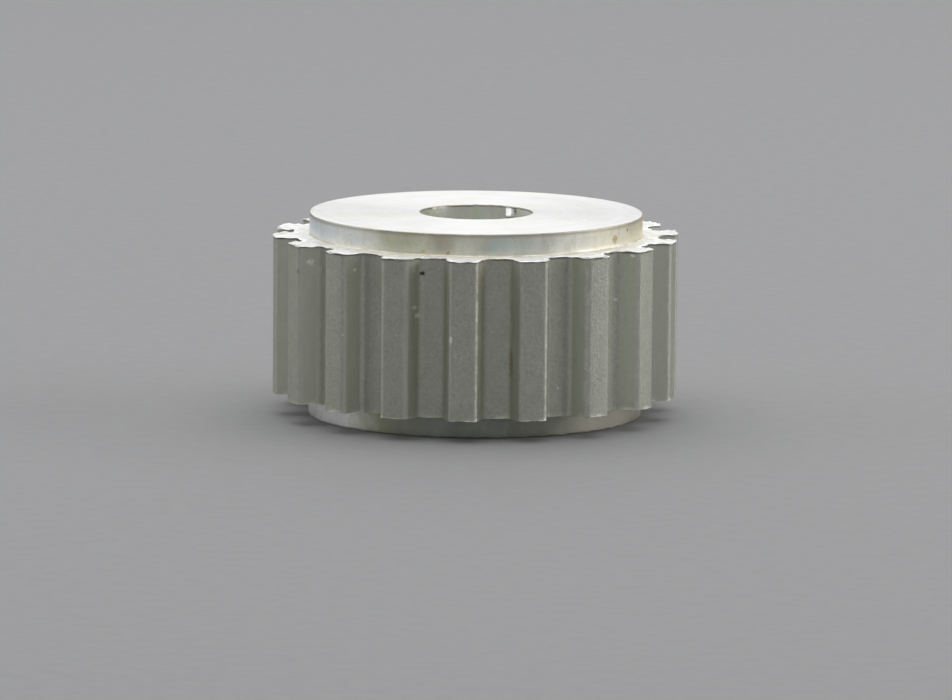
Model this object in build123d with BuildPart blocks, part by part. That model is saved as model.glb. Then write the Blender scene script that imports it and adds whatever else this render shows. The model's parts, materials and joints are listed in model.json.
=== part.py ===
from build123d import *
import os
from math import cos, pi, radians, sin, tan

# Timing belt pulley for a toothed belt of 5.08 mm pitch, turned and tooth-cut from one
# aluminium bar. It has no flanges and no hub: a short shoulder stands on each end, where
# a flange ring could be pressed on. Two grub screws in the tooth grooves grip the shaft.
#
# Millimetres and degrees. The origin is the centre of the lower end face, +Z runs along
# the bore, and one tooth is centred on -Y.

# Teeth
belt_pitch = 5.08
tooth_count = 18
tip_to_pitch_line = 0.254
groove_depth = 1.45
groove_bottom_width = 1.80
flank_angle = 25.0
root_radius = 0.40
tip_radius = 0.40
toothed_width = 11.15

# Shoulders and bore
shoulder_diameter = 23.50
shoulder_height = 1.57
shoulder_edge_break = 0.12
bore_diameter = 7.94
bore_edge_break = 0.05

# Grub screws, size M3 x 5, plain sided, with a cup point and a hex socket
screw_diameter = 2.90
screw_length = 5.00
screw_hole_diameter = 3.00
screw_end_chamfer = 0.30
socket_across_flats = 1.50
socket_depth = 1.60
cup_diameter = 1.50
cup_depth = 0.45
cup_angle = 45.0
bore_to_screw_gap = 0.33
screw_angles = {"set_screw_a": 60.0, "set_screw_b": 160.0}

# Derived sizes
outer_radius = belt_pitch * tooth_count / pi / 2 - tip_to_pitch_line
mid_groove_radius = outer_radius - groove_depth / 2
total_height = toothed_width + 2 * shoulder_height
screw_inner_end = bore_diameter / 2 + bore_to_screw_gap
screw_outer_end = screw_inner_end + screw_length


def groove_corners():
    """Corners of one straight-sided groove, with X pointing outward and zero at the tooth tips."""
    overshoot = 0.5
    bottom = groove_bottom_width / 2
    mouth = bottom + (groove_depth + overshoot) * tan(radians(flank_angle))
    return [(-groove_depth, -bottom), (-groove_depth, bottom), (overshoot, mouth), (overshoot, -mouth)]


def is_in_root(vertex):
    """True for the corners of the tooth form that lie nearer the groove bottoms than the tips."""
    return Vector(vertex.X, vertex.Y).length < mid_groove_radius


def radial_plane(angle, radius):
    """A plane at mid height whose normal points outward at the given angle from +X."""
    outward = Vector(cos(radians(angle)), sin(radians(angle)), 0)
    return Plane(origin=outward * radius + Vector(0, 0, total_height / 2), x_dir=(0, 0, 1), z_dir=outward)


# The one-piece body: shoulders and web as one cylinder, then the toothed rim around it,
# the through bore, and a radial hole for each grub screw
with BuildPart() as pulley_body:
    with BuildSketch(Plane.XY):
        Circle(shoulder_diameter / 2)
    extrude(amount=total_height)
    chamfer(pulley_body.edges().filter_by(GeomType.CIRCLE), shoulder_edge_break)
    with BuildSketch(Plane.XY.offset(shoulder_height)) as tooth_form:
        Circle(outer_radius)
        with PolarLocations(outer_radius, tooth_count):
            Polygon(*groove_corners(), align=None, mode=Mode.SUBTRACT)
        root_corners = tooth_form.vertices().filter_by(is_in_root)
        tip_corners = tooth_form.vertices().filter_by(is_in_root, reverse=True)
        fillet(root_corners, root_radius)
        fillet(tip_corners, tip_radius)
    extrude(amount=toothed_width)
    with BuildSketch(Plane.XY):
        Circle(bore_diameter / 2)
    extrude(amount=total_height, mode=Mode.SUBTRACT)
    bore_rims = pulley_body.edges(Select.LAST).filter_by(GeomType.CIRCLE)
    chamfer(bore_rims, bore_edge_break)
    for screw_angle in screw_angles.values():
        with BuildSketch(radial_plane(screw_angle, 0)):
            Circle(screw_hole_diameter / 2)
        extrude(amount=outer_radius, mode=Mode.SUBTRACT)
pulley_body.part.label = "pulley_body"

os.makedirs("parts", exist_ok=True)
export_step(pulley_body.part, "parts/pulley_body.step")

# The grub screws: a chamfered shank with a cup point towards the bore and a hex socket outward
for screw_name, screw_angle in screw_angles.items():
    with BuildPart() as set_screw:
        with BuildSketch(radial_plane(screw_angle, screw_inner_end)):
            Circle(screw_diameter / 2)
        extrude(amount=screw_length)
        chamfer(set_screw.edges().filter_by(GeomType.CIRCLE), screw_end_chamfer)
        with BuildSketch(radial_plane(screw_angle, screw_inner_end)):
            Circle(cup_diameter / 2)
        extrude(amount=cup_depth, taper=cup_angle, mode=Mode.SUBTRACT)
        with BuildSketch(radial_plane(screw_angle, screw_outer_end)):
            RegularPolygon(socket_across_flats / 2, 6, major_radius=False)
        extrude(amount=-socket_depth, mode=Mode.SUBTRACT)
    set_screw.part.label = screw_name
    export_step(set_screw.part, f"parts/{screw_name}.step")
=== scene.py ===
import json
import math
from typing import NamedTuple

import bpy
import numpy as np
from mathutils import Matrix, Vector


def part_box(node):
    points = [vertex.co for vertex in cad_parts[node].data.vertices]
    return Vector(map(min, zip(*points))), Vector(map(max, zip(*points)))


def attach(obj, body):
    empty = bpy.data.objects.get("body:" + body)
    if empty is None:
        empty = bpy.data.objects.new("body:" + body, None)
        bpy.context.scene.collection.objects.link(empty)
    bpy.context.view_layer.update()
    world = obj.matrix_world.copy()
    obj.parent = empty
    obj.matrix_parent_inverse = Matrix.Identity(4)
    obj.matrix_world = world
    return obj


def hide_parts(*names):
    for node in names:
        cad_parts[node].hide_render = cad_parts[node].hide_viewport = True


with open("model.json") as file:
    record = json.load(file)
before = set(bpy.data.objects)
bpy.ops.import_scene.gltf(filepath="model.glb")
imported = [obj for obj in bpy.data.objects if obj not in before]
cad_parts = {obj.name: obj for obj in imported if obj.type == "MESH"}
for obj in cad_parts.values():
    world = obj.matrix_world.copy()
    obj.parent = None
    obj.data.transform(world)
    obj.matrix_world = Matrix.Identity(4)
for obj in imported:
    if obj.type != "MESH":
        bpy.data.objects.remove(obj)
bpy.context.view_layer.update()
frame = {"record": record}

# Looks for a flangeless timing belt pulley: the one-piece aluminium body with its burred tooth
# edges, turned faces and threaded screw holes, and the two black grub screws that sit in it.
# Shapes are worked out in millimetres and become metres where the meshes are made.

MM = 0.001
mounts = {mount["name"]: mount for mount in frame["record"]["mounts"]}

# ---------------------------------------------------------------- sizes, in millimetres
body_low, body_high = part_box("pulley_body")
OUTER_RADIUS = (body_high[1] - body_low[1]) / 2 / MM
TOTAL_HEIGHT = body_high[2] / MM
BORE_RADIUS = mounts["shaft_bore"]["dims"]["r_mm"]
SHOULDER_RADIUS = mounts["flange_seat_top"]["dims"]["r_mm"]
SHOULDER_HEIGHT = 1.57
RIM_LOW = SHOULDER_HEIGHT
RIM_HIGH = TOTAL_HEIGHT - SHOULDER_HEIGHT
MID_HEIGHT = TOTAL_HEIGHT / 2

TOOTH_COUNT = 18
GROOVE_DEPTH = 1.45
GROOVE_HALF_WIDTH = 0.90
GROOVE_RADIUS = OUTER_RADIUS - GROOVE_DEPTH
FLANK_ANGLE = math.radians(25)
ROOT_RADIUS = 0.40
TIP_RADIUS = 0.40
HALF_PITCH = math.pi / TOOTH_COUNT
ROOT_TURN = math.atan2(GROOVE_HALF_WIDTH, GROOVE_RADIUS)

SHOULDER_EDGE = 0.10
SHOULDER_FOOT = 0.12
BORE_CHAMFER = 0.05

# Where the plain rings of each surface start and stop, measured from its edges
TOOTH_WALL_MARGIN = 0.40
FACE_OUTER_MARGIN = 0.40
FACE_INNER_MARGIN = 1.20
SHOULDER_LOW_MARGIN = SHOULDER_FOOT + 0.20
SHOULDER_HIGH_MARGIN = SHOULDER_EDGE + 0.06
SWARF_RINGS = (0.14, 1.10)
BORE_RINGS = (1.90, TOTAL_HEIGHT - 0.80)

# The burr on a tooth's edge starts on the wall, folds outward, and comes down on the rim's side
BURR_START = 0.28
BURR_CREASE = 0.05
BURR_FOLD = 0.01
BURR_THICKNESS = 0.045
BURR_CREST = 0.05
BURR_END = 0.12
RIM_SIDE_INSET = 0.30

# The bead of swarf in the bore, in depths below the mouth and degrees from +X towards +Y
SWARF_SIZE = 0.36
SWARF_TOP = (0.10, 0.62)
SWARF_END = (0.72, 0.86)
SWARF_TURN = 58.0
SWARF_SLANT = 3.5
SWARF_HALF_ANGLE = 4.6
SWARF_EDGE_ANGLE = 1.5

SCREW_ANGLES = {"a": math.radians(60), "b": math.radians(160)}
SCREW_INNER_END = BORE_RADIUS + 0.33
SCREW_LENGTH = 5.0
SCREW_CREST = 1.45
SCREW_ROOT = 1.22
SCREW_END_RADIUS = 1.04
CUP_DEPTH = 0.45
CUP_RADIUS = 0.77
SOCKET_HALF_WIDTH = 0.75
SOCKET_MOUTH_RADIUS = 0.93
SOCKET_DEPTH = 1.60
THREAD_PITCH = 0.5
HOLE_CREST = 1.50
HOLE_ROOT = 1.68
HOLE_THREAD = (BORE_RADIUS + 0.10, GROOVE_RADIUS - 0.25)
HOLE_REACH = (BORE_RADIUS - 1.50, OUTER_RADIUS + 0.80)
HOLE_COLUMNS = 48
SCREW_COLUMNS = 60
BODY_SHARP_ANGLE = math.radians(38)
SCREW_SHARP_ANGLE = math.radians(35)


class Uneven(NamedTuple):
    """A size in mm that wanders round the rim: its mean, spread, limits and wave lengths."""
    mean: float
    spread: float
    least: float
    most: float
    shortest_wave: float
    longest_wave: float


BURR_LEAN = Uneven(0.035, 0.035, 0.0, 0.10, 0.8, 3.5)
BURR_DROOP = Uneven(0.020, 0.045, 0.005, 0.13, 1.0, 5.0)
BURR_LIFT = Uneven(0.020, 0.035, 0.0, 0.10, 0.6, 3.0)
RIM_SAG = Uneven(0.0, 0.020, -1.0, 1.0, 2.0, 9.0)
EDGE_NICKS = Uneven(0.0, 0.012, -1.0, 1.0, 0.8, 5.0)
MOUTH_WANDER = Uneven(0.0, 0.030, -1.0, 1.0, 3.0, 40.0)


class Side(NamedTuple):
    """One side of the body: levels of the rim's side and the end face, and the burr's size."""
    rim_level: float
    end_level: float
    up: int
    burr_size: float
    seed: int


UPPER_SIDE = Side(RIM_HIGH, TOTAL_HEIGHT, 1, 1.0, 11)
LOWER_SIDE = Side(RIM_LOW, 0.0, -1, 0.4, 31)


# ---------------------------------------------------------------- tooth form
def arc(centre, radius, start, end, count):
    """Points along a circular arc, both ends included."""
    turns = np.linspace(start, end, count)
    return np.column_stack([centre[0] + radius * np.cos(turns), centre[1] + radius * np.sin(turns)])


def tip_centre():
    """Centre of the rounding between the flank and the land of the groove that is centred on +X."""
    along = np.array([math.cos(FLANK_ANGLE), math.sin(FLANK_ANGLE)])
    into_tooth = np.array([-math.sin(FLANK_ANGLE), math.cos(FLANK_ANGLE)])
    start = np.array([GROOVE_RADIUS, GROOVE_HALF_WIDTH]) + TIP_RADIUS * into_tooth
    reach = start @ along
    step = -reach + math.sqrt(reach**2 - start @ start + (OUTER_RADIUS - TIP_RADIUS) ** 2)
    return start + step * along


TIP_CENTRE = tip_centre()
LAND_TURN = math.atan2(TIP_CENTRE[1], TIP_CENTRE[0])
# The point on the tip rounding where the corner lines run: their colour is a painted highlight, their lower
# roughness is wear polish
CORNER_LINE_POINT = TIP_CENTRE + TIP_RADIUS * np.array([0.8, -0.6])
CORNER_TURN = math.atan2(CORNER_LINE_POINT[1], CORNER_LINE_POINT[0])


def half_groove():
    """The tooth form from a groove's centre, on +X, to the next tooth's centre."""
    root_inset = ROOT_RADIUS * math.tan((math.pi / 2 - FLANK_ANGLE) / 2)
    root_centre = np.array([GROOVE_RADIUS + ROOT_RADIUS, GROOVE_HALF_WIDTH - root_inset])
    root_arc = arc(root_centre, ROOT_RADIUS, math.pi, math.pi / 2 + FLANK_ANGLE, 6)
    tip_arc = arc(TIP_CENTRE, TIP_RADIUS, FLANK_ANGLE - math.pi / 2, LAND_TURN, 8)
    floor = np.linspace([GROOVE_RADIUS, 0], root_arc[0], 8)
    flank = np.linspace(root_arc[-1], tip_arc[0], 8)
    land = arc((0, 0), OUTER_RADIUS, LAND_TURN, HALF_PITCH, 9)
    return np.concatenate([floor, root_arc[1:], flank[1:], tip_arc[1:], land[1:]])


def rim_outline():
    """The whole toothed outline as points and outward normals, anticlockwise from above."""
    half = half_groove()
    mirrored = half[::-1] * [1, -1]
    one_pitch = np.concatenate([mirrored[:-1], half[:-1]])
    turned = []
    for tooth in range(TOOTH_COUNT):
        turn = 2 * HALF_PITCH * tooth
        spin = np.array([[math.cos(turn), math.sin(turn)], [-math.sin(turn), math.cos(turn)]])
        turned.append(one_pitch @ spin)
    points = np.concatenate(turned)
    tangent = np.roll(points, -1, axis=0) - np.roll(points, 1, axis=0)
    normals = np.column_stack([tangent[:, 1], -tangent[:, 0]])
    return points, normals / np.linalg.norm(normals, axis=1)[:, None]


def ring_noise(places, shortest, longest, seed):
    """Seeded noise of unit spread that closes on itself, with waves between two lengths in mm."""
    rng = np.random.default_rng(seed)
    length = places[-1] + (places[-1] - places[-2])
    waves = np.arange(max(1, round(length / longest)), round(length / shortest) + 1)
    sizes = rng.normal(size=len(waves))
    shifts = rng.uniform(0, 2 * math.pi, len(waves))
    swings = np.sin(2 * math.pi * places[:, None] / length * waves + shifts)
    return swings @ sizes / math.sqrt(len(waves) / 2)


# ---------------------------------------------------------------- mesh from rings
def skin(rings, bands, closed):
    """Quads between neighbouring rings of points; closed joins the last ring to the first."""
    count = len(rings[0])
    verts = np.concatenate(rings)
    faces = []
    kinds = []
    pairs = len(rings) if closed else len(rings) - 1
    for low in range(pairs):
        high = (low + 1) % len(rings)
        for here in range(count):
            there = (here + 1) % count
            faces.append((low * count + here, low * count + there, high * count + there, high * count + here))
            kinds.append(bands[low])
    return verts, faces, kinds


def capped_skin(rings):
    """An open skin of one material with a flat face across each end."""
    verts, faces, kinds = skin(rings, [0] * len(rings), False)
    columns = len(rings[0])
    faces.append(tuple(range(columns)))
    faces.append(tuple(range(len(verts) - columns, len(verts)))[::-1])
    return verts, faces, kinds + [0, 0]


def make_object(name, verts, faces, kinds, materials):
    """A mesh object in metres from points in millimetres, with one material index per face."""
    mesh = bpy.data.meshes.new(name)
    mesh.from_pydata((np.asarray(verts) * MM).tolist(), [], faces)
    for material in materials:
        mesh.materials.append(material)
    mesh.polygons.foreach_set("material_index", kinds)
    mesh.polygons.foreach_set("use_smooth", [True] * len(faces))
    mesh.update()
    piece = bpy.data.objects.new(name, mesh)
    bpy.context.scene.collection.objects.link(piece)
    return piece


def outward_normals(piece):
    """Turns a closed mesh's faces outward."""
    mesh = piece.data
    count = len(mesh.vertices)
    coords = np.empty(count * 3)
    mesh.vertices.foreach_get("co", coords)
    coords = coords.reshape(-1, 3)
    mesh.calc_loop_triangles()
    corners = np.array([triangle.vertices[:] for triangle in mesh.loop_triangles])
    first, second, third = (coords[corners[:, k]] for k in range(3))
    if np.einsum("ij,ij->i", first, np.cross(second, third)).sum() < 0:
        mesh.flip_normals()


# ---------------------------------------------------------------- pulley body
RIM, RIM_SIDE, FACE, SHOULDER, BORE, LIP = range(6)


class Section:
    """Rings of points round the body's section; each ring's band names the surface that follows it."""

    def __init__(self):
        self.points, self.normals = rim_outline()
        steps = np.linalg.norm(self.points - np.roll(self.points, 1, axis=0), axis=1)
        self.places = np.cumsum(steps)
        self.turns = np.arctan2(self.points[:, 1], self.points[:, 0])
        self.circle = np.column_stack([np.cos(self.turns), np.sin(self.turns)])
        self.rings = []
        self.bands = []

    def uneven(self, size, seed):
        """A wandering size, one value for each point round the rim."""
        noise = ring_noise(self.places, size.shortest_wave, size.longest_wave, seed)
        return np.clip(size.mean + size.spread * noise, size.least, size.most)

    def add(self, outline, height, band):
        self.rings.append(np.column_stack([outline, np.broadcast_to(height, len(outline))]))
        self.bands.append(band)

    def add_circle(self, radius, height, band):
        """A round ring, of one radius or of one for each point."""
        self.add(self.circle * np.reshape(radius, (-1, 1)), height, band)

    def add_outline(self, side, outward, rise, band):
        """A ring along the tooth outline, moved outward from it and away from the rim's side."""
        shift = self.normals * np.reshape(outward, (-1, 1))
        self.add(self.points + shift, side.rim_level + side.up * rise, band)

    def add_tooth_wall(self):
        for height in np.linspace(RIM_LOW + TOOTH_WALL_MARGIN, RIM_HIGH - TOOTH_WALL_MARGIN, 9):
            self.add(self.points, height, RIM)

    def add_burr(self, side):
        """The lip that the cutter left round the tooth edge, leaning out over the tooth wall."""
        lean = side.burr_size * self.uneven(BURR_LEAN, side.seed)
        droop = side.burr_size * self.uneven(BURR_DROOP, side.seed + 1)
        lift = side.burr_size * self.uneven(BURR_LIFT, side.seed + 2)
        sag = side.burr_size * self.uneven(RIM_SAG, side.seed + 3)
        # The upper burr's fold takes the crest's material with its painted highlights; the lower one takes
        # the plain tooth metal
        under = LIP if side.up > 0 else RIM
        self.add_outline(side, 0.0, -BURR_START, RIM)
        self.add_outline(side, 0.0, -BURR_CREASE - droop, RIM)
        self.add_outline(side, 0.7 * lean, -BURR_FOLD - droop, under)
        self.add_outline(side, lean, sag - 0.6 * droop, under)
        self.add_outline(side, lean - BURR_THICKNESS, sag + 0.7 * lift, under)
        self.add_outline(side, -BURR_CREST, sag + lift, LIP)
        self.add_outline(side, -BURR_END, sag + 0.4 * lift, LIP)
        self.add_rim_side(side, sag)

    def add_rim_side(self, side, sag):
        """The rim's side from the burr to the shoulder, where the teeth's sag has died away."""
        inset = self.points - self.normals * RIM_SIDE_INSET
        for share in (0, 0.3, 0.65, 0.9):
            outline = inset * (1 - share) + self.circle * SHOULDER_RADIUS * share
            self.add(outline, side.rim_level + side.up * sag * (1 - share) ** 2, RIM_SIDE)

    def add_shoulder(self, side):
        """The shoulder's wall, from the fillet at its foot to its broken and slightly nicked edge."""
        for turn in np.linspace(0, math.pi / 2, 4):
            radius = SHOULDER_RADIUS + SHOULDER_FOOT * (1 - math.sin(turn))
            rise = SHOULDER_FOOT * (1 - math.cos(turn))
            self.add_circle(radius, side.rim_level + side.up * rise, SHOULDER)
        for rise in np.linspace(SHOULDER_LOW_MARGIN, SHOULDER_HEIGHT - SHOULDER_HIGH_MARGIN, 4):
            self.add_circle(SHOULDER_RADIUS, side.rim_level + side.up * rise, SHOULDER)
        nicks = self.uneven(EDGE_NICKS, side.seed + 4)
        for turn in np.linspace(0, math.pi / 2, 5):
            inward = SHOULDER_EDGE * (1 - math.cos(turn))
            below = SHOULDER_EDGE * (1 - math.sin(turn))
            radius = SHOULDER_RADIUS - inward + nicks * math.sin(2 * turn)
            self.add_circle(radius, side.end_level - side.up * below, SHOULDER if turn < 1 else FACE)

    def add_mouth(self, side):
        """The end face and the chamfer at the bore's mouth."""
        for radius in np.linspace(SHOULDER_RADIUS - FACE_OUTER_MARGIN, BORE_RADIUS + FACE_INNER_MARGIN, 9):
            self.add_circle(radius, side.end_level, FACE)
        wander = self.uneven(MOUTH_WANDER, side.seed + 5)
        for share in (1.15, 1.0, 0.9, 0.5, 0.1, 0.0):
            below = BORE_CHAMFER * max(0.0, 1.0 - share)
            radius = BORE_RADIUS + BORE_CHAMFER * share + wander * (1 - share)
            self.add_circle(radius, side.end_level - side.up * below, FACE if share >= 1 else BORE)

    def add_side(self, side):
        self.add_burr(side)
        self.add_shoulder(side)
        self.add_mouth(side)

    def add_bore(self):
        """The bore's wall: close rings where the swarf is, then plain ones."""
        for depth in np.linspace(*SWARF_RINGS, 25):
            self.add_circle(bore_reach(self.turns, depth), TOTAL_HEIGHT - depth, BORE)
        for depth in np.linspace(*BORE_RINGS, 9):
            self.add_circle(BORE_RADIUS, TOTAL_HEIGHT - depth, BORE)


def bore_reach(turns, depth):
    """Bore radius at a depth below the mouth, less one slanting bead of swarf just inside it."""
    down = np.interp(depth, SWARF_TOP, [0, 1])
    back = np.interp(depth, SWARF_END, [1, 0])
    centre = math.radians(SWARF_TURN - SWARF_SLANT * down)
    aside = np.degrees((turns - centre + math.pi) % (2 * math.pi) - math.pi)
    across = np.clip((SWARF_HALF_ANGLE - np.abs(aside)) / SWARF_EDGE_ANGLE, 0, 1)
    return BORE_RADIUS - SWARF_SIZE * across * down * back


def body_rings():
    """The whole closed section: tooth wall, upper side, bore, and the lower side from the bore out."""
    upper = Section()
    upper.add_tooth_wall()
    upper.add_side(UPPER_SIDE)
    upper.add_bore()
    lower = Section()
    lower.add_side(LOWER_SIDE)
    return upper.rings + lower.rings[::-1], upper.bands + lower.bands[-2::-1] + [RIM]


def thread_rise(along, sides):
    """Height of a trapezoidal thread at one axial place, from 0 to 1: a screw's ridge or a hole's groove."""
    phase = (along / THREAD_PITCH - sides / (2 * math.pi)) % 1.0
    return np.clip(1.6 - 4 * np.abs(phase - 0.5), 0, 1)


def radial_ring(along, radius, sides):
    """A ring round a screw's axis, as (axial, across, up) points."""
    radius = np.broadcast_to(radius, len(sides))
    return np.column_stack([np.full(len(sides), along), radius * np.cos(sides), radius * np.sin(sides)])


def place_along(verts, turn):
    """Moves points from (axial, across, up) to the body frame, along a radius at mid height."""
    out = np.array([math.cos(turn), math.sin(turn), 0])
    side = np.array([-math.sin(turn), math.cos(turn), 0])
    up = np.array([0, 0, 1])
    return MID_HEIGHT * up + verts[:, :1] * out + verts[:, 1:2] * side + verts[:, 2:] * up


def hole_cutter(letter, turn, material):
    """A threaded rod that cuts one screw's hole from the bore out through the groove bottom."""
    sides = np.linspace(0, 2 * math.pi, HOLE_COLUMNS, endpoint=False)
    rings = []
    for along in np.arange(*HOLE_REACH, THREAD_PITCH / 8):
        radius = HOLE_CREST
        if HOLE_THREAD[0] <= along <= HOLE_THREAD[1]:
            radius = HOLE_CREST + (HOLE_ROOT - HOLE_CREST) * thread_rise(along, sides)
        rings.append(radial_ring(along, radius, sides))
    verts, faces, kinds = capped_skin(rings)
    cutter = make_object("cutter_" + letter, place_along(verts, turn), faces, kinds, [material])
    outward_normals(cutter)
    return cutter


def cut_hole(body, cutter):
    """Subtracts the cutter from the body, with the cutter's material on the hole, and removes it."""
    cut = body.modifiers.new("screw_hole", "BOOLEAN")
    cut.operation = "DIFFERENCE"
    cut.solver = "EXACT"
    cut.material_mode = "TRANSFER"
    cut.object = cutter
    bpy.context.view_layer.objects.active = body
    bpy.ops.object.modifier_apply(modifier=cut.name)
    bpy.data.objects.remove(cutter)


def make_body(materials, hole_material):
    """The one-piece body, with a threaded hole for each screw."""
    rings, bands = body_rings()
    verts, faces, kinds = skin(rings, bands, True)
    body = make_object("machined_body", verts, faces, kinds, materials)
    outward_normals(body)
    for letter, turn in SCREW_ANGLES.items():
        cut_hole(body, hole_cutter(letter, turn, hole_material))
    body.data.set_sharp_from_angle(angle=BODY_SHARP_ANGLE)
    return body


# ---------------------------------------------------------------- grub screws
def cup_profile(inner):
    """Axial places and radii of the cup point, from its bottom over its rim."""
    cup = [(inner + CUP_DEPTH, 0.02), (inner + 0.20, 0.45), (inner + 0.02, CUP_RADIUS - 0.05)]
    rim = [(inner, CUP_RADIUS), (inner, SCREW_END_RADIUS - 0.06), (inner + 0.02, SCREW_END_RADIUS - 0.02)]
    return cup + rim


def socket_profile(outer, sides):
    """Axial places and radii of the outer end, into the hex socket and down to its drilled bottom."""
    hexagon = SOCKET_HALF_WIDTH / np.cos((sides + math.pi / 6) % (math.pi / 3) - math.pi / 6)
    rim = [(outer - 0.02, SCREW_END_RADIUS), (outer, SCREW_END_RADIUS - 0.04), (outer, SOCKET_MOUTH_RADIUS)]
    mouth = [(outer - 0.05, np.maximum(hexagon, SOCKET_MOUTH_RADIUS - 0.09)), (outer - 0.14, hexagon)]
    walls = [(outer - 0.90, hexagon), (outer - SOCKET_DEPTH, hexagon)]
    bottom = [(outer - SOCKET_DEPTH - 0.02, 0.93 * hexagon), (outer - SOCKET_DEPTH - 0.25, 0.02)]
    return rim + mouth + walls + bottom


def make_screw(letter, turn, material):
    """An M3 grub screw: cup point, rolled thread, chamfered end and hex socket."""
    sides = np.linspace(0, 2 * math.pi, SCREW_COLUMNS, endpoint=False)
    inner = SCREW_INNER_END
    outer = inner + SCREW_LENGTH
    shank = []
    for along in np.arange(inner + 0.06, outer - 0.05, THREAD_PITCH / 12):
        thread = SCREW_ROOT + (SCREW_CREST - SCREW_ROOT) * thread_rise(along, sides)
        taper = SCREW_END_RADIUS + min(along - inner, outer - along)
        shank.append((along, np.minimum(thread, taper)))
    profile = cup_profile(inner) + shank + socket_profile(outer, sides)
    verts, faces, kinds = capped_skin([radial_ring(along, radius, sides) for along, radius in profile])
    screw = make_object("grub_screw_" + letter, place_along(verts, turn), faces, kinds, [material])
    outward_normals(screw)
    screw.data.set_sharp_from_angle(angle=SCREW_SHARP_ANGLE)
    return screw


# ---------------------------------------------------------------- nodes
class Nodes:
    """Short calls for laying out one material's nodes."""

    def __init__(self, name):
        self.material = bpy.data.materials.new(name)
        self.material.use_nodes = True
        self.tree = self.material.node_tree
        self.shader = self.tree.nodes["Principled BSDF"]

    def set(self, socket, value):
        if isinstance(value, bpy.types.NodeSocket):
            self.tree.links.new(value, socket)
        elif value is not None:
            socket.default_value = value

    def math(self, operation, *values):
        node = self.tree.nodes.new("ShaderNodeMath")
        node.operation = operation
        for socket, value in zip(node.inputs, values):
            self.set(socket, value)
        return node.outputs[0]

    def times(self, first, second):
        return self.math("MULTIPLY", first, second)

    def plus(self, first, second):
        return self.math("ADD", first, second)

    def minus(self, first, second):
        return self.math("SUBTRACT", first, second)

    def place(self):
        """Object coordinates in millimetres."""
        coord = self.tree.nodes.new("ShaderNodeTexCoord")
        scale = self.tree.nodes.new("ShaderNodeVectorMath")
        scale.operation = "SCALE"
        scale.inputs["Scale"].default_value = 1 / MM
        self.set(scale.inputs[0], coord.outputs["Object"])
        return scale.outputs[0]

    def parts(self, vector):
        """The x, y and z of a vector."""
        node = self.tree.nodes.new("ShaderNodeSeparateXYZ")
        self.set(node.inputs[0], vector)
        return node.outputs[0], node.outputs[1], node.outputs[2]

    def vector(self, x, y, z):
        node = self.tree.nodes.new("ShaderNodeCombineXYZ")
        for socket, value in zip(node.inputs, (x, y, z)):
            self.set(socket, value)
        return node.outputs[0]

    def noise_node(self, vector, scale, detail=2.0, roughness=0.5):
        node = self.tree.nodes.new("ShaderNodeTexNoise")
        self.set(node.inputs["Vector"], vector)
        self.set(node.inputs["Scale"], scale)
        self.set(node.inputs["Detail"], detail)
        self.set(node.inputs["Roughness"], roughness)
        return node

    def noise(self, vector, scale, detail=2.0, roughness=0.5):
        return self.noise_node(vector, scale, detail, roughness).outputs["Fac"]

    def voronoi(self, vector, scale):
        node = self.tree.nodes.new("ShaderNodeTexVoronoi")
        self.set(node.inputs["Vector"], vector)
        self.set(node.inputs["Scale"], scale)
        return node.outputs["Distance"], node.outputs["Color"]

    def remap(self, value, low, high, to_low=0.0, to_high=1.0, smooth=True):
        node = self.tree.nodes.new("ShaderNodeMapRange")
        node.interpolation_type = "SMOOTHSTEP" if smooth else "LINEAR"
        for socket, given in zip(node.inputs, (value, low, high, to_low, to_high)):
            self.set(socket, given)
        return node.outputs[0]

    def ramp(self, value, stops):
        node = self.tree.nodes.new("ShaderNodeValToRGB")
        ramp = node.color_ramp
        while len(ramp.elements) < len(stops):
            ramp.elements.new(0.5)
        for element, (place, colour) in zip(ramp.elements, stops):
            element.position = place
            element.color = (*colour, 1)
        self.set(node.inputs[0], value)
        return node.outputs[0]

    def mix(self, share, first, second):
        node = self.tree.nodes.new("ShaderNodeMix")
        node.data_type = "RGBA"
        self.set(node.inputs["Factor"], share)
        for socket, value in ((node.inputs[6], first), (node.inputs[7], second)):
            self.set(socket, (*value, 1) if isinstance(value, tuple) else value)
        return node.outputs[2]

    def bump(self, height, depth, after=None):
        """Bump of a depth in millimetres, on top of another bump where one is given."""
        node = self.tree.nodes.new("ShaderNodeBump")
        node.inputs["Strength"].default_value = 1.0
        node.inputs["Distance"].default_value = depth * MM
        self.set(node.inputs["Height"], height)
        self.set(node.inputs["Normal"], after)
        return node.outputs[0]

    def finish(self, colour, roughness, normal, metallic=1.0):
        self.set(self.shader.inputs["Base Color"], colour)
        self.set(self.shader.inputs["Roughness"], roughness)
        self.set(self.shader.inputs["Normal"], normal)
        self.shader.inputs["Metallic"].default_value = metallic
        return self.material


def around_from_front(nodes, x, y):
    """Angle round the axis from -Y towards +X, in radians."""
    return nodes.math("ARCTAN2", x, nodes.times(y, -1.0))


def from_axis(nodes, x, y):
    return nodes.math("SQRT", nodes.plus(nodes.times(x, x), nodes.times(y, y)))


def stretched(nodes, x, y, z, share):
    """A place whose height counts only in part, so that noise on it runs in upright streaks."""
    return nodes.vector(x, y, nodes.times(z, share))


def specks(nodes, place, colour, spacing, size, rarity, speck_colour, softness=0.5):
    """Sparse irregular specks mixed over a colour; spacing and size are in millimetres."""
    wobble = nodes.noise_node(place, 1.6 / size)
    shifted = nodes.tree.nodes.new("ShaderNodeVectorMath")
    shifted.operation = "MULTIPLY_ADD"
    nodes.set(shifted.inputs[0], wobble.outputs["Color"])
    shifted.inputs[1].default_value = (1.2 * size,) * 3
    nodes.set(shifted.inputs[2], place)
    distance, random_colour = nodes.voronoi(shifted.outputs[0], 1 / spacing)
    spot = nodes.remap(distance, size / spacing, size / spacing * (1 - softness))
    chosen = nodes.math("GREATER_THAN", nodes.parts(random_colour)[0], rarity)
    return nodes.mix(nodes.times(spot, chosen), colour, speck_colour)


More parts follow.
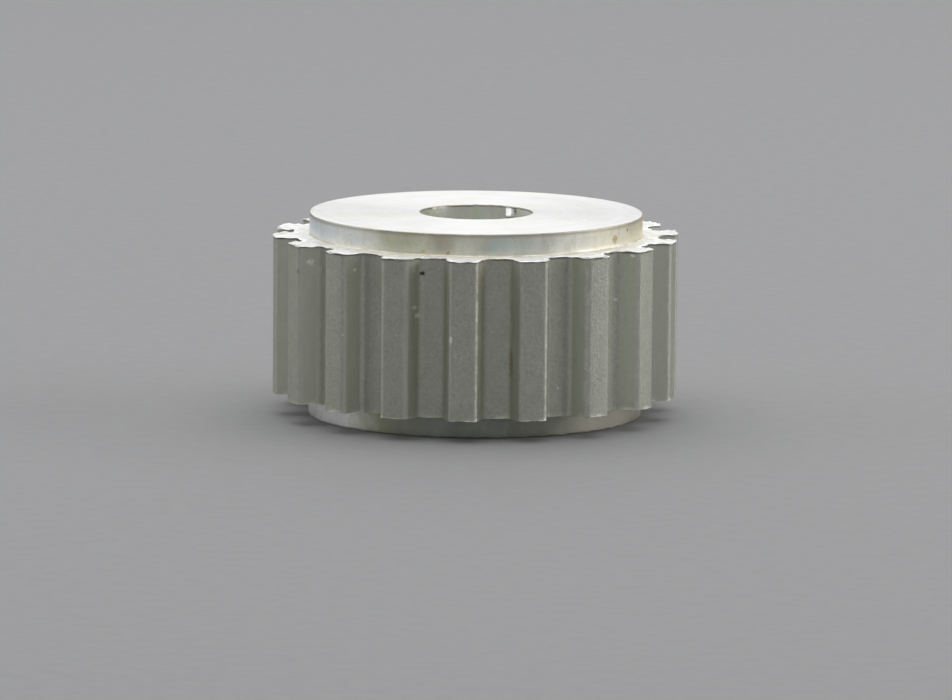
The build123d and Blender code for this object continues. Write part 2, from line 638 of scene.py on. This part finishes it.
# ---------------------------------------------------------------- single marks
class Mark(NamedTuple):
    """A ragged mark on a wall round the axis: degrees from -Y, millimetres, colour, strength."""
    turn: float
    height: float
    half_width: float
    half_height: float
    colour: tuple
    share: float


PALE = (0.92, 0.92, 0.88)
BRIGHT = (1.0, 1.0, 0.96)

# A pale beige patch and a painted highlight streak on the middle tooth's right corner, the black chip, chips
# of bright metal, and one rust run
TOOTH_MARKS = [
    Mark(4.7, 11.6, 0.34, 1.5, (0.74, 0.70, 0.58), 0.8),
    # Painted highlight: a pale streak down the middle tooth's right corner
    Mark(4.6, 7.0, 0.12, 5.5, (0.74, 0.73, 0.64), 0.5),
    Mark(-13.2, 11.62, 0.28, 0.20, (0.04, 0.04, 0.04), 0.95),
    Mark(-15.1, 11.85, 0.09, 0.14, (0.72, 0.78, 0.74), 0.8),
    Mark(-55.05, 11.60, 0.14, 0.26, (0.92, 0.92, 0.90), 0.8),
    Mark(-56.9, 10.98, 0.10, 0.26, (0.16, 0.16, 0.14), 0.7),
    Mark(-35.0, 11.58, 0.07, 0.12, PALE, 0.9),
    Mark(-14.85, 9.30, 0.14, 0.20, BRIGHT, 0.95),
    Mark(-14.35, 8.72, 0.14, 0.22, BRIGHT, 0.95),
    Mark(-3.45, 7.24, 0.14, 0.40, PALE, 0.8),
    Mark(30.0, 3.57, 0.10, 0.12, PALE, 0.9),
    Mark(52.4, 9.35, 0.38, 0.10, PALE, 0.8),
    Mark(55.5, 12.44, 0.10, 0.13, (1.0, 0.98, 0.78), 1.0),
    Mark(14.3, 5.4, 0.15, 1.3, (0.30, 0.20, 0.10), 0.5),
]

# A rust spot, a green spot and a brown spot on the upper shoulder
SHOULDER_MARKS = [
    Mark(59.0, 13.30, 0.50, 0.36, (0.46, 0.30, 0.08), 0.90),
    Mark(-14.7, 13.0, 0.30, 0.16, (0.55, 0.62, 0.12), 0.85),
    Mark(-6.0, 12.95, 0.22, 0.12, (0.42, 0.26, 0.16), 0.85),
]

# In the bore's mouth: a dull side, a bright side, a painted shadow along the right side of the bead of swarf,
# and a painted highlight over the bead
BORE_MARKS = [
    Mark(-118.0, TOTAL_HEIGHT - 0.60, 6.5, 1.60, (0.60, 0.63, 0.48), 0.9),
    Mark(112.0, TOTAL_HEIGHT - 0.60, 5.5, 1.60, BRIGHT, 1.0),
    # Painted shadow along the right side of the bead of swarf
    Mark(139.5, TOTAL_HEIGHT - 0.35, 0.8, 0.35, (0.10, 0.10, 0.11), 0.9),
    # Painted highlight: the bead of swarf painted white
    Mark(145.5, TOTAL_HEIGHT - 0.50, 1.9, 0.60, (1.0, 1.0, 1.0), 1.0),
]


def add_marks(nodes, around, z, ragged, colour, marks):
    """Mixes single marks over a colour; the ragged noise frays their outlines."""
    fray = nodes.remap(ragged, 0.3, 0.7, -0.6, 0.6, False)
    for mark in marks:
        aside = nodes.minus(around, math.radians(mark.turn))
        across = nodes.times(aside, OUTER_RADIUS / mark.half_width)
        along = nodes.math("DIVIDE", nodes.minus(z, mark.height), mark.half_height)
        far = nodes.plus(nodes.plus(nodes.times(across, across), nodes.times(along, along)), fray)
        colour = nodes.mix(nodes.remap(far, 1.0, -0.1, 0.0, mark.share), colour, mark.colour)
    return colour


# ---------------------------------------------------------------- materials
def aluminium_faces():
    """End faces: faced on a lathe, so marked in fine circles."""
    nodes = Nodes("faced_aluminium")
    place = nodes.place()
    x, y, _ = nodes.parts(place)
    radius = from_axis(nodes, x, y)
    rings = nodes.noise(nodes.vector(radius, 0.0, 0.0), 14.0, 3.0, 0.7)
    bands = nodes.noise(nodes.vector(radius, 3.0, 0.0), 1.6, 1.0)
    cloud = nodes.noise(place, 0.22, 3.0, 0.55)
    grain = nodes.noise(place, 9.0, 3.0, 0.6)
    colour = nodes.ramp(cloud, [
        (0.35, (0.73, 0.73, 0.70)), (0.50, (0.79, 0.79, 0.79)), (0.68, (0.75, 0.745, 0.69)),
    ])
    colour = nodes.mix(nodes.remap(bands, 0.35, 0.65, 0.0, 0.25), colour, (0.68, 0.68, 0.67))
    colour = specks(nodes, place, colour, 1.7, 0.10, 0.72, (0.42, 0.42, 0.40))
    colour = specks(nodes, place, colour, 3.1, 0.22, 0.70, (0.86, 0.82, 0.52), 0.9)
    unevenness = nodes.remap(grain, 0.3, 0.7, -0.04, 0.04)
    rough = nodes.plus(nodes.remap(bands, 0.3, 0.7, 0.36, 0.44), unevenness)
    normal = nodes.bump(grain, 0.006, nodes.bump(rings, 0.014))
    nodes.shader.inputs["Anisotropic"].default_value = 0.6
    nodes.shader.inputs["Anisotropic Rotation"].default_value = 0.25
    return nodes.finish(colour, rough, normal, 0.85)


def aluminium_rim_sides():
    """Sides of the toothed rim: rough from the cutter's exit, bright and matt."""
    nodes = Nodes("burred_aluminium")
    place = nodes.place()
    x, y, z = nodes.parts(place)
    radius = from_axis(nodes, x, y)
    rings = nodes.noise(nodes.vector(radius, 0.0, z), 9.0, 3.0, 0.7)
    patches = nodes.noise(place, 1.5, 3.0, 0.6)
    grain = nodes.noise(place, 9.0, 3.0, 0.6)
    colour = nodes.ramp(patches, [
        (0.35, (0.68, 0.67, 0.63)), (0.52, (0.79, 0.79, 0.77)), (0.68, (0.92, 0.92, 0.92)),
    ])
    colour = specks(nodes, place, colour, 1.3, 0.09, 0.80, (0.30, 0.27, 0.22))
    rough = nodes.remap(patches, 0.35, 0.70, 0.62, 0.42)
    normal = nodes.bump(grain, 0.012, nodes.bump(rings, 0.008))
    return nodes.finish(colour, rough, normal, 0.35)


def aluminium_burr():
    """The burr's crest: folded metal whose white stretches are painted highlights, with duller stretches and
    flecks of grime.
    """
    nodes = Nodes("folded_aluminium")
    place = nodes.place()
    stretches = nodes.noise(place, 0.9, 3.0, 0.6)
    grain = nodes.noise(place, 12.0, 3.0, 0.6)
    # Painted highlight: the ramp's white stretches stand in for the light the crest catches
    colour = nodes.ramp(stretches, [
        (0.44, (0.76, 0.75, 0.71)), (0.50, (0.88, 0.88, 0.86)), (0.54, (1.0, 1.0, 1.0)),
    ])
    colour = nodes.mix(nodes.remap(grain, 0.55, 0.75, 0.0, 0.4), colour, (0.40, 0.38, 0.33))
    rough = nodes.remap(stretches, 0.40, 0.60, 0.60, 0.40)
    return nodes.finish(colour, rough, nodes.bump(grain, 0.010), 0.20)


def tints_and_painted_shade(nodes, place, around, is_upper):
    """Soft tints round the upper shoulder; round the lower shoulder, painted light and shade with a few olive
    tints. The ramps run from the back, past -X, -Y and +X.
    """
    wander = nodes.remap(nodes.noise(place, 0.5, 2.0), 0.3, 0.7, -0.10, 0.10, False)
    along = nodes.remap(nodes.plus(around, wander), -math.pi, math.pi, 0.0, 1.0, False)
    upper = nodes.ramp(along, [
        (0.00, (0.80, 0.81, 0.78)), (0.20, (0.82, 0.84, 0.84)), (0.30, (0.80, 0.86, 0.93)),
        (0.38, (0.86, 0.87, 0.84)), (0.42, (0.72, 0.74, 0.55)), (0.455, (0.76, 0.76, 0.62)),
        (0.478, (0.62, 0.59, 0.46)), (0.502, (0.76, 0.76, 0.66)), (0.53, (0.62, 0.70, 0.65)),
        (0.565, (0.80, 0.82, 0.76)), (0.60, (0.85, 0.85, 0.77)), (0.68, (0.82, 0.78, 0.62)),
        (0.74, (0.88, 0.81, 0.56)), (0.86, (0.82, 0.84, 0.80)), (1.00, (0.80, 0.81, 0.78)),
    ])
    # Painted light and shade: the lower shoulder is darkest across the front, where the teeth overhang it,
    # and brightest at the front left
    lower = nodes.ramp(along, [
        (0.00, (0.55, 0.56, 0.54)), (0.22, (0.84, 0.86, 0.86)), (0.37, (0.95, 0.95, 0.93)),
        (0.415, (0.50, 0.52, 0.36)), (0.46, (0.34, 0.37, 0.33)), (0.56, (0.27, 0.29, 0.25)),
        (0.62, (0.49, 0.47, 0.39)), (0.72, (0.52, 0.50, 0.41)), (0.86, (0.52, 0.54, 0.52)),
        (1.00, (0.55, 0.56, 0.54)),
    ])
    return nodes.mix(is_upper, lower, upper)


def shoulder_foot_and_edge(nodes, place, z, stain, is_upper, tint):
    """On the upper shoulder: a pale foot, rust in its corner, and a darker band along its upper edge."""
    foot = nodes.times(nodes.remap(z, RIM_HIGH + 0.50, RIM_HIGH + 0.05, 0.0, 0.60), is_upper)
    tint = nodes.mix(foot, tint, nodes.mix(stain, (0.95, 0.95, 0.90), (0.84, 0.78, 0.58)))
    rust = nodes.remap(nodes.noise(place, 0.8, 3.0, 0.6), 0.44, 0.64, 0.05, 0.75)
    corner = nodes.times(nodes.remap(z, RIM_HIGH + 0.16, RIM_HIGH + 0.06), is_upper)
    tint = nodes.mix(nodes.times(corner, rust), tint, (0.62, 0.52, 0.37))
    edge = nodes.remap(z, TOTAL_HEIGHT - 0.40, TOTAL_HEIGHT - 0.08, 0.0, 0.72)
    return nodes.mix(edge, tint, nodes.mix(stain, (0.42, 0.44, 0.38), (0.42, 0.33, 0.22)))


def aluminium_shoulder():
    """Shoulder walls: turned round, with the faint olive, brown and blue tints of passivation; the lower
    shoulder is painted dark across the front as the teeth's shade, and light at the front left.
    """
    nodes = Nodes("turned_aluminium")
    place = nodes.place()
    x, y, z = nodes.parts(place)
    around = around_from_front(nodes, x, y)
    is_upper = nodes.math("GREATER_THAN", z, MID_HEIGHT)
    stain = nodes.noise(stretched(nodes, x, y, z, 0.5), 1.3, 4.0, 0.65)
    salt = nodes.noise(place, 6.0, 3.0, 0.65)
    tint = tints_and_painted_shade(nodes, place, around, is_upper)
    tint = nodes.mix(nodes.remap(stain, 0.42, 0.72, 0.0, 0.35), tint, (0.52, 0.50, 0.38))
    tint = shoulder_foot_and_edge(nodes, place, z, stain, is_upper, tint)
    tint = nodes.mix(nodes.remap(salt, 0.50, 0.72, 0.0, 0.30), tint, (0.45, 0.45, 0.38))
    colour = specks(nodes, place, tint, 1.6, 0.13, 0.72, (0.34, 0.27, 0.16))
    colour = add_marks(nodes, around, z, nodes.noise(place, 6.0, 3.0, 0.6), colour, SHOULDER_MARKS)
    lines = nodes.noise(nodes.vector(0.0, 0.0, z), 16.0, 3.0, 0.7)
    grain = nodes.noise(place, 8.0, 3.0, 0.6)
    rough = nodes.remap(grain, 0.3, 0.7, 0.34, 0.48)
    normal = nodes.bump(grain, 0.008, nodes.bump(lines, 0.010))
    return nodes.finish(colour, rough, normal, 0.75)


def tooth_metal(nodes, place, mottle, streaks, grain):
    """The matt grey-green of the cut teeth: mottled, streaked upright, and pitted."""
    pores = nodes.noise(place, 9.0, 2.0, 0.6)
    colour = nodes.ramp(mottle, [
        (0.30, (0.43, 0.45, 0.38)), (0.55, (0.465, 0.475, 0.41)), (0.80, (0.505, 0.505, 0.43)),
    ])
    colour = nodes.mix(nodes.remap(streaks, 0.35, 0.65, 0.0, 0.16), colour, (0.34, 0.36, 0.29))
    colour = nodes.mix(nodes.remap(grain, 0.35, 0.70, 0.0, 0.42), colour, (0.66, 0.67, 0.59))
    return nodes.mix(nodes.remap(pores, 0.50, 0.70, 0.0, 0.45), colour, (0.24, 0.25, 0.20))


def flank_share(nodes, groove_turn):
    """1 on the flanks, and 0 on the groove bottoms and the lands."""
    off_bottom = nodes.remap(groove_turn, ROOT_TURN - 0.012, ROOT_TURN + 0.012)
    off_land = nodes.remap(groove_turn, LAND_TURN, LAND_TURN - 0.035)
    return nodes.times(off_bottom, off_land)


def corner_line_spread(nodes, x, y, around):
    """How strongly each tooth's corners take the painted highlight and the wear: lightly and unevenly on the
    left corners, and on the right corners strongly from the front's middle rightward.
    """
    across_tooth = nodes.math("FRACT", nodes.plus(nodes.math("DIVIDE", around, 2 * HALF_PITCH), 0.5))
    is_right_corner = nodes.math("GREATER_THAN", across_tooth, 0.5)
    left = nodes.remap(nodes.noise(nodes.vector(x, y, 0.0), 0.16, 1.0), 0.4, 0.6, 0.2, 0.5)
    right = nodes.remap(around, -0.25, 0.02, 0.05, 1.0)
    return nodes.mix(is_right_corner, left, right)


def corner_line_mask(nodes, x, y, z, around, groove_turn):
    """Broken bright lines along the teeth's upright corners: painted highlights where the rounding catches
    the light, which also mark the wear polish that lowers the roughness.
    """
    from_corner = nodes.math("ABSOLUTE", nodes.minus(groove_turn, CORNER_TURN))
    line = nodes.remap(from_corner, 0.22 / OUTER_RADIUS, 0.03 / OUTER_RADIUS)
    is_outer = nodes.math("GREATER_THAN", from_axis(nodes, x, y), OUTER_RADIUS - 0.3)
    # Breaks along the corner lines, which are painted highlight in colour and wear polish in roughness
    rubbed = nodes.noise(stretched(nodes, x, y, z, 0.6), 2.6, 5.0, 0.75)
    rubbed = nodes.remap(rubbed, 0.43, 0.62, 0.02, 0.62)
    return nodes.times(nodes.times(line, is_outer), nodes.times(rubbed, corner_line_spread(nodes, x, y, around)))


def aluminium_teeth():
    """Tooth lands, flanks and groove bottoms: matt, with painted highlight lines along the corners, flanks
    painted lighter against the grooves' shade, and a painted shadow under the burr.
    """
    nodes = Nodes("hobbed_aluminium")
    place = nodes.place()
    x, y, z = nodes.parts(place)
    around = around_from_front(nodes, x, y)
    groove_turn = nodes.math("PINGPONG", nodes.minus(around, HALF_PITCH), HALF_PITCH)
    streaks = nodes.noise(stretched(nodes, x, y, z, 0.06), 7.0, 4.0, 0.65)
    mottle = nodes.noise(place, 0.9, 4.0, 0.6)
    grain = nodes.noise(place, 4.5, 3.0, 0.65)
    corner_shine_and_wear = corner_line_mask(nodes, x, y, z, around, groove_turn)
    colour = tooth_metal(nodes, place, mottle, streaks, grain)
    # Painted light: the flanks, from the root corners out to the lands, are lightened against the shade in
    # the grooves' corners
    colour = nodes.mix(nodes.times(flank_share(nodes, groove_turn), 0.55), colour, (0.68, 0.70, 0.61))
    # Painted highlight: bright broken lines along the teeth's corners
    colour = nodes.mix(corner_shine_and_wear, colour, (0.90, 0.89, 0.81))
    # Painted shadow: a dark brown band just under the burr's overhang, broken by the mottle
    under_burr_shade = nodes.remap(z, RIM_HIGH - 0.20, RIM_HIGH - 0.06)
    under_burr_shade = nodes.times(under_burr_shade, nodes.remap(mottle, 0.35, 0.60, 0.25, 0.80))
    colour = nodes.mix(under_burr_shade, colour, (0.13, 0.10, 0.07))
    colour = specks(nodes, place, colour, 1.4, 0.09, 0.86, (0.85, 0.85, 0.80), 0.8)
    colour = specks(nodes, place, colour, 2.3, 0.20, 0.84, (0.74, 0.74, 0.70), 0.9)
    colour = specks(nodes, place, colour, 1.9, 0.08, 0.84, (0.10, 0.10, 0.09))
    colour = add_marks(nodes, around, z, nodes.noise(place, 6.0, 3.0, 0.6), colour, TOOTH_MARKS)
    rough = nodes.minus(nodes.remap(grain, 0.3, 0.7, 0.44, 0.58), nodes.times(corner_shine_and_wear, 0.15))
    normal = nodes.bump(grain, 0.022, nodes.bump(streaks, 0.016))
    return nodes.finish(colour, rough, normal)


def aluminium_bore():
    """Bore and screw holes: reamed and drilled, with marks round the axis (among them a painted highlight and
    a painted shadow on the swarf) and a dark upper rim.
    """
    nodes = Nodes("bored_aluminium")
    place = nodes.place()
    x, y, z = nodes.parts(place)
    around = around_from_front(nodes, x, y)
    lines = nodes.noise(nodes.vector(0.0, 0.0, z), 9.0, 3.0, 0.7)
    stripes = nodes.noise(stretched(nodes, x, y, z, 0.3), 1.1, 3.0, 0.6)
    colour = nodes.ramp(stripes, [
        (0.34, (0.76, 0.82, 0.68)), (0.44, (0.86, 0.88, 0.83)), (0.50, (0.82, 0.80, 0.74)),
        (0.58, (0.84, 0.86, 0.82)), (0.68, (0.76, 0.82, 0.68)),
    ])
    colour = add_marks(nodes, around, z, nodes.noise(place, 5.0, 3.0, 0.6), colour, BORE_MARKS)
    rim = nodes.remap(z, TOTAL_HEIGHT - 0.20, TOTAL_HEIGHT - 0.08, 0.0, 0.85)
    colour = nodes.mix(rim, colour, (0.30, 0.27, 0.22))
    rough = nodes.remap(lines, 0.3, 0.7, 0.36, 0.48)
    return nodes.finish(colour, rough, nodes.bump(lines, 0.012), 0.85)


def black_steel():
    """Black-oxide steel with brighter, rubbed patches."""
    nodes = Nodes("black_oxide_steel")
    place = nodes.place()
    wear = nodes.noise(place, 2.5, 4.0, 0.6)
    grain = nodes.noise(place, 20.0, 2.0)
    colour = nodes.ramp(wear, [
        (0.35, (0.035, 0.036, 0.040)), (0.60, (0.07, 0.07, 0.075)), (0.85, (0.22, 0.21, 0.20)),
    ])
    rough = nodes.remap(grain, 0.3, 0.7, 0.32, 0.48)
    return nodes.finish(colour, rough, nodes.bump(grain, 0.006))


def floor_grey():
    """A plain matt grey with the faintest cloud in it."""
    nodes = Nodes("pale_floor")
    shade = nodes.noise(nodes.place(), 0.8, 3.0)
    colour = nodes.ramp(shade, [(0.3, (0.265, 0.265, 0.27)), (0.7, (0.28, 0.28, 0.285))])
    return nodes.finish(colour, 0.9, None, 0.0)


# ---------------------------------------------------------------- stage and light, in metres
FLOOR_HALF_WIDTH = 3.0
PULLEY_MIDDLE = (0, 0, 0.01)


def make_floor():
    half = FLOOR_HALF_WIDTH
    corners = [(-half, -half, 0), (half, -half, 0), (half, half, 0), (-half, half, 0)]
    mesh = bpy.data.meshes.new("floor")
    mesh.from_pydata(corners, [], [(0, 1, 2, 3)])
    mesh.materials.append(floor_grey())
    floor = bpy.data.objects.new("floor", mesh)
    bpy.context.scene.collection.objects.link(floor)


def make_softbox(name, place, target, size, power):
    """A rectangular area light of a width and height in metres and a power in watts."""
    light = bpy.data.lights.new(name, "AREA")
    light.shape = "RECTANGLE"
    light.size, light.size_y = size
    light.energy = power
    lamp = bpy.data.objects.new(name, light)
    lamp.location = place
    lamp.rotation_mode = "QUATERNION"
    lamp.rotation_quaternion = (Vector(target) - Vector(place)).to_track_quat("-Z", "Y")
    lamp.visible_camera = False
    bpy.context.scene.collection.objects.link(lamp)


def make_light():
    """A dim studio with five softboxes; the one behind gives the end face its sheen."""
    world = bpy.data.worlds.new("studio")
    world.use_nodes = True
    background = world.node_tree.nodes["Background"]
    background.inputs["Color"].default_value = (0.5, 0.51, 0.53, 1)
    background.inputs["Strength"].default_value = 0.2
    bpy.context.scene.world = world
    make_softbox("overhead", (0.0, 0.05, 0.55), (0, 0, 0), (0.8, 0.8), 3.4)
    make_softbox("behind", (0.0, 0.60, 0.30), PULLEY_MIDDLE, (0.9, 0.4), 1.4)
    make_softbox("right", (0.47, 0.05, 0.17), PULLEY_MIDDLE, (0.5, 0.32), 1.10)
    make_softbox("left", (-0.45, 0.05, 0.22), PULLEY_MIDDLE, (0.5, 0.45), 0.70)
    make_softbox("front", (0.0, -0.60, 0.34), PULLEY_MIDDLE, (0.9, 0.5), 0.8)
    bpy.context.scene.view_settings.view_transform = "Standard"


# ---------------------------------------------------------------- camera
# Angles in degrees, lengths as multiples of the tooth tip radius, and the lens in millimetres
CAMERA_AZIMUTH = 3.29
CAMERA_ELEVATION = 8.58
CAMERA_ROLL = 0.50
CAMERA_DISTANCE = 38.53
CAMERA_RAISE = 0.3009
CAMERA_ASIDE = 0.0053
CAMERA_LIFT = 0.0063
SENSOR_WIDTH = 36.0
LENS = 294.24
CLIP_START = 0.01


def camera_axes():
    """The camera's right, up and forward directions, before its roll."""
    azimuth = math.radians(CAMERA_AZIMUTH)
    elevation = math.radians(CAMERA_ELEVATION)
    right = Vector((math.cos(azimuth), math.sin(azimuth), 0))
    away = Vector((-math.sin(azimuth), math.cos(azimuth), 0))
    forward = away * math.cos(elevation) - Vector((0, 0, math.sin(elevation)))
    return right, right.cross(forward), forward


def make_camera():
    """The photograph's view: a long lens nearly level with the pulley, turned and tilted a little."""
    right, up, forward = camera_axes()
    roll = math.radians(CAMERA_ROLL)
    tilted_right = right * math.cos(roll) + up * math.sin(roll)
    tilted_up = up * math.cos(roll) - right * math.sin(roll)
    turn = Matrix((tilted_right, tilted_up, -forward)).transposed().to_4x4()
    place = right * CAMERA_ASIDE + up * CAMERA_RAISE - forward * CAMERA_DISTANCE + Vector((0, 0, CAMERA_LIFT))
    camera_data = bpy.data.cameras.new("camera")
    camera_data.sensor_width = SENSOR_WIDTH
    camera_data.lens = LENS
    camera_data.clip_start = CLIP_START
    camera = bpy.data.objects.new("camera", camera_data)
    camera.matrix_world = Matrix.Translation(place * OUTER_RADIUS * MM) @ turn
    bpy.context.scene.collection.objects.link(camera)
    bpy.context.scene.camera = camera


# ---------------------------------------------------------------- putting it together
def make_object_pieces():
    bored = aluminium_bore()
    skins = {
        RIM: aluminium_teeth(),
        RIM_SIDE: aluminium_rim_sides(),
        FACE: aluminium_faces(),
        SHOULDER: aluminium_shoulder(),
        BORE: bored,
        LIP: aluminium_burr(),
    }
    body = make_body([skins[band] for band in sorted(skins)], bored)
    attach(body, "pulley")
    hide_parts("pulley_body")
    steel = black_steel()
    for letter, turn in SCREW_ANGLES.items():
        screw = make_screw(letter, turn, steel)
        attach(screw, "screw_" + letter)
        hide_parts("set_screw_" + letter)


make_object_pieces()
make_floor()
make_light()
make_camera()
